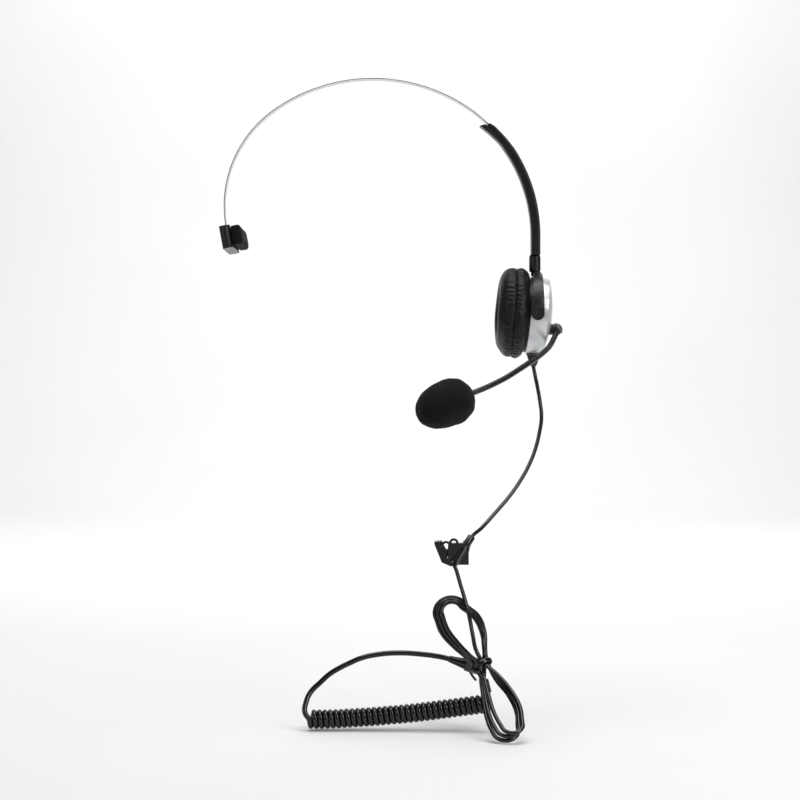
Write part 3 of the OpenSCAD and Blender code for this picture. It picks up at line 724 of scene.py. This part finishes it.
# The cushion's section as (radius, height) pairs: round the outside first, then the plain inner rim
CUSHION_LINE = [(12.0, 9.4), (11.7, 7.6), (11.8, 5.0), (12.6, 2.6), (14.0, 1.0), (16.0, 0.25), (18.4, 0.1),
                (20.6, 0.55), (22.6, 1.5), (24.4, 2.8), (26.0, 4.4), (27.0, 6.0), (27.3, 7.4), (27.1, 8.4),
                (26.6, 9.05), (26.15, 9.3), (26.6, 9.6), (27.1, 10.2), (27.35, 11.3), (27.2, 12.6),
                (26.4, 14.1), (25.4, 15.5), (24.4, 16.7), (23.5, 17.35), (22.95, 17.5), (22.95, 16.0),
                (22.95, 12.0), (22.8, 9.45), (17.0, 9.45)]
SEAM_AT = 15
ROUND_PART = 24
PLEAT_PAIRS = 27
PLEAT_END = 6
PLEAT_DEPTH = 0.85
PLEAT_FADE = 3.8
CUSHION_SETTLES = 3.0
CUSHION_LIFTS = 0.8


def cushion_profile():
    """The cushion's section, drawn finer than its control points."""
    line = smooth_route([(r, z, 0) for r, z in CUSHION_LINE[:ROUND_PART]], 3)
    return [(p.x, p.y) for p in line] + CUSHION_LINE[ROUND_PART:]


def pleat_depth(angle, from_seam, lobe):
    """How far a pleat pulls the skin in, in mm: sharp folds that fade away from the seam."""
    if from_seam > PLEAT_END:
        return 0
    c, s = math.cos(angle), math.sin(angle)
    turnings = noise.noise(Vector((c * 3, s * 3, lobe * 5.0))) * 2.2
    fold = abs(math.sin(angle * PLEAT_PAIRS + turnings + lobe))
    deep = 0.55 + 0.45 * noise.noise(Vector((c * 7, s * 7, lobe * 9.0)))
    return deep * PLEAT_DEPTH * (1 - fold) ** 1.6 * math.exp(-(from_seam / PLEAT_FADE) ** 2)


def ear_cushion():
    """Leatherette ring in two rolls, gathered into pleats at the seam between them."""
    steps = 288
    profile = cushion_profile()
    seam_r, seam_z = CUSHION_LINE[SEAM_AT]
    verts, faces = turned(profile, steps, closed=True)
    pinned, out = [], []
    for i, (x, y, z) in enumerate(verts):
        ring = i // steps
        r, angle = math.hypot(x, y), math.atan2(y, x)
        from_seam = math.hypot(r - seam_r, z - seam_z)
        front = z < seam_z
        pull = slack = 0
        if r > 21 and ring < len(profile) - 6:
            pull = pleat_depth(angle, from_seam, 0.0 if front else 1.7)
        if r > 13 and ring < len(profile) - 8:
            slack = 0.22 * noise.noise(Vector((x, y, z * 1.4)) * 0.22)
        shrink = (r - pull + slack) / r
        towards_ear = max(0, 1 - z / CUSHION_DEEP)
        settled = CUSHION_SETTLES * (max(x, 0) / CUSHION_R) ** 1.6 * towards_ear
        lift = CUSHION_LIFTS * min(1, max(0, (r - 20) / 3)) * towards_ear ** 0.5
        tuck = 0.35 * pull if front else -0.35 * pull
        out.append((x * shrink - lift, y * shrink, z + settled + tuck))
        if from_seam < 0.5 or ring >= len(profile) - 7 or z > 17.0:
            pinned.append(i)
    cushion = piece("ear_cushion_cover", out, faces, "cushion_leatherette", "ear_cup", CUP,
                    replaces=["ear_cushion"])
    inflate(cushion, pinned, cap=0.5)
    subdivide(cushion)


def lozenge(start, thick, length, count):
    """An outline in X and Y with round ends, starting at X = start."""
    half, r = length / 2, thick / 2
    points = []
    for end in (1, -1):
        for i in range(count + 1):
            a = math.pi * i / count
            points.append((start + r + end * r * math.cos(a), end * (half - r) + end * r * math.sin(a)))
    return points


PAD_START, PAD_THICK, PAD_STRAIGHT = 3.55, 6.0, 19.0
# Height of each layer of the pad, and its share of the full outline
PAD_LAYERS = ([(-13.2, 0.55), (-13.0, 0.80), (-12.5, 0.93), (-11.6, 0.985)]
              + [(z, 1.0) for z in (-10.4, -9, -7.3, -5.6, -4.2)]
              + [(-3.0, 0.985), (-2.1, 0.93), (-1.6, 0.8), (-1.4, 0.55)])


def temple_pad():
    """Soft pad on the T-bar: a thin cover over foam, puffed between its edges."""
    outline = []
    flat = lozenge(PAD_START, PAD_THICK, PAD_LEN - 1.4, 10)
    for i, p in enumerate(flat):
        a, b = Vector(p), Vector(flat[(i + 1) % len(flat)])
        pieces = max(1, round((b - a).length / 1.1))
        outline += [a.lerp(b, k / pieces) for k in range(pieces)]
    n = len(outline)
    centre_x = PAD_START + PAD_THICK / 2
    verts = []
    for z, share in PAD_LAYERS:
        for p in outline:
            straight = math.copysign(min(abs(p.y), PAD_STRAIGHT), p.y)
            x = centre_x + (p.x - centre_x) * share
            verts.append((x, straight + (p.y - straight) * share, z))
    faces = stacked_faces(len(PAD_LAYERS), n)
    # Held where it is glued to the bar, and at its top and bottom rims
    pinned = [i for i, v in enumerate(verts) if v[0] < 4.0 or v[2] < -13.1 or v[2] > -1.5]
    pad = piece("temple_pad_cover", verts, faces, "pad_foam", "pad_rest", STRIP_TIP,
                replaces=["temple_pad"])
    inflate(pad, pinned, cap=0.35)
    subdivide(pad)


def windscreen():
    """Foam sock: an egg with its boom end pulled in, a dent near the tip and an uneven skin."""
    profile = [(3.4, 2.2), (4.2, 1.2), (6.0, 1.0), (8.4, 2.3), (10.6, 4.6), (12.2, 7.8),
               (12.95, 11.2), (13.0, 14.4), (12.75, 17.6), (12.3, 20.8), (11.7, 24.0), (10.6, 27.2),
               (9.0, 30.0), (6.8, 32.6), (4.4, 34.3), (2.2, 35.0), (0, 35.15)]
    fine = [(max(p.x, 0), p.y) for p in smooth_route([(r, z, 0) for r, z in profile], 4)]
    fine[-1] = (0, fine[-1][1])
    inner = [(0, 16.9), (3.2, 16.9), (4.7, 16.7), (4.7, 12), (4.7, 6), (3.6, 3.2)]
    verts, faces = turned(inner + fine, 96)
    out = []
    middle, bore_r, bore_end = Vector((0, 0, 15)), 4.7, 18
    dent, dent_depth, dent_r = Vector((-4.0, -2.0, 37.5)), 1.5, 5.0
    for v in verts:
        p = Vector(v)
        if p.z > 1.5 and math.hypot(p.x, p.y) > bore_r or p.z > bore_end:
            outward = (p - middle).normalized()
            rough = 0.16 * noise.noise(p * 0.9) + 0.35 * noise.noise(p * 0.21) + 0.06 * noise.noise(p * 2.6)
            p += outward * rough
            near = (p - dent).length
            p -= outward * dent_depth * math.exp(-(near / dent_r) ** 2)
        out.append(p)
    screen = piece("windscreen_foam", out, faces, "windscreen_foam", "boom",
                   MIC @ Matrix.Translation((0, 0, 1.4)), replaces=["windscreen"])
    subdivide(screen)


ear_cushion()
temple_pad()
windscreen()


# ---- Boom ----

def boom_sleeve():
    """Flexible boom: a sleeve with fine ribs, each four steps of the line long."""
    line = even_steps(smooth_route(BOOM_ROUTE, 12), 0.24)
    grooves = (0.10, 0.03, 0, 0.03)
    radii = [BOOM_D / 2 - grooves[i % len(grooves)] for i in range(len(line))]
    verts, faces = tube(line, radii, 28)
    piece("boom_sleeve", verts, faces, "boom_sleeve", "boom", replaces=["boom_tube"])


boom_sleeve()


# ---- Small mouldings on the arm, the yoke and the clip ----

def arm_outer_cover():
    """The arm's outer half: a shallow channel for the strip, thinning to a wedge at the tip."""
    floor_r, side_r, top_r, half, slot, corner = 93.85, 92.95, 96.15, 5.5, 4.12, 1.5
    arc_steps, arc_degrees = 69, 46
    outline = [(side_r, half)]
    outline += [(top_r - corner + corner * math.sin(a), half - corner + corner * math.cos(a))
                for a in (math.radians(15 * i) for i in range(7))]
    outline += [(r, -y) for r, y in outline[::-1]]
    outline += [(side_r, -slot), (floor_r, -slot), (floor_r, slot), (side_r, slot)]
    # A straight foot below the arc's start, then the arc up to the tip
    stations = [(z, 0.0) for z in (-11.6, -11.3, -8, -4)]
    stations += [(0.0, arc_degrees * i / arc_steps) for i in range(arc_steps + 1)]
    verts = []
    for z, degrees in stations:
        a = math.radians(degrees)
        thin = 1 - 0.42 * min(1, max(0, (degrees - 33) / 11)) - 0.4 * min(1, max(0, (degrees - 44) / 2))
        for r, y in outline:
            out = floor_r + (r - floor_r) * thin if r > floor_r else r
            verts.append(ARM_C + Vector((out * math.cos(a), y, out * math.sin(a) + z)))
    obj = piece("arm_outer_cover", verts, stacked_faces(len(stations), len(outline)), "black_abs", "arm",
                replaces=["arm_outer_shell"])
    edges = obj.modifiers.new("edges", "BEVEL")
    edges.width, edges.segments = 0.0003, 3
    edges.limit_method, edges.angle_limit = "ANGLE", math.radians(40)


def yoke_shoulder():
    """The hoop's rounded top, where it meets the arm's collar."""
    profile = [(0, 21.95), (2.7, 21.95), (3.15, 22.2), (3.25, 22.7),
               (3.2, 23.4), (3.05, 24.0), (2.5, 24.12), (0, 24.12)]
    verts, faces = turned(profile, 48)
    piece("yoke_shoulder", verts, faces, "black_abs", "yoke", Matrix.Translation((23.65, 0, 0)))


def clip_hooks():
    """Two open hooks on the clip's upper edge that guide the cord."""
    verts, faces = [], []
    hook_y, thick, tip = -67.3, 0.75, 0.35
    for x, z, r in ((-32.6, -136.3, 2.2), (-28.2, -134.6, 2.0)):
        arc = [Vector((x + r * math.cos(a), hook_y, z + r * math.sin(a)))
               for a in (math.radians(-60 + 14 * i) for i in range(20))]
        v, f = tube(arc, [tip] + [thick] * (len(arc) - 2) + [tip], 12)
        start = len(verts)
        verts += v
        faces += [tuple(start + k for k in face) for face in f]
    piece("clip_hooks", verts, faces, "clip_plastic", "ear_cup")


arm_outer_cover()
yoke_shoulder()
clip_hooks()


# ---- CAD nodes that stay, with their edges broken and a finish ----

def soften(name, width):
    """Breaks a CAD node's sharp edges at render time. Its own mesh isn't touched."""
    obj = NODES[name]
    weld = obj.modifiers.new("weld", "WELD")
    weld.merge_threshold = 1e-6
    bevel = obj.modifiers.new("edges", "BEVEL")
    bevel.width, bevel.segments = width / 1000, 3
    bevel.limit_method, bevel.angle_limit = "ANGLE", math.radians(32)
    bevel.harden_normals = True
    bevel.use_clamp_overlap = True


# Width of the broken edge on each CAD node, in millimetres
EDGE_WIDTHS = {
    "cup_shell": 0.5, "cup_face": 0.35, "yoke": 0.45, "arm_inner_shell": 0.3,
    "arm_collar": 0.25, "arm_screw": 0.12, "headband_spring": 0.12, "pad_bracket": 0.35, "pad_holder": 0.5,
    "boom_base": 0.25, "boom_hub": 0.2, "boom_cap": 0.12, "boom_ferrule": 0.2, "mic_housing": 0.2,
    "clip_body": 0.45, "clip_lever": 0.45, "clip_cord_holder": 0.3, "clip_pin": 0.15,
    "cord_junction": 0.5, "plug_relief": 0.3, "plug_body": 0.3, "plug_latch": 0.15, "baffle": 0.2,
}

for part in frame["record"]["subparts"]:
    obj = NODES[part["node"]]
    obj.data.materials.clear()
    obj.data.materials.append(MATERIALS[part["material_slot"]])
for n, width in EDGE_WIDTHS.items():
    soften(n, width)

floor_sheet()
studio()
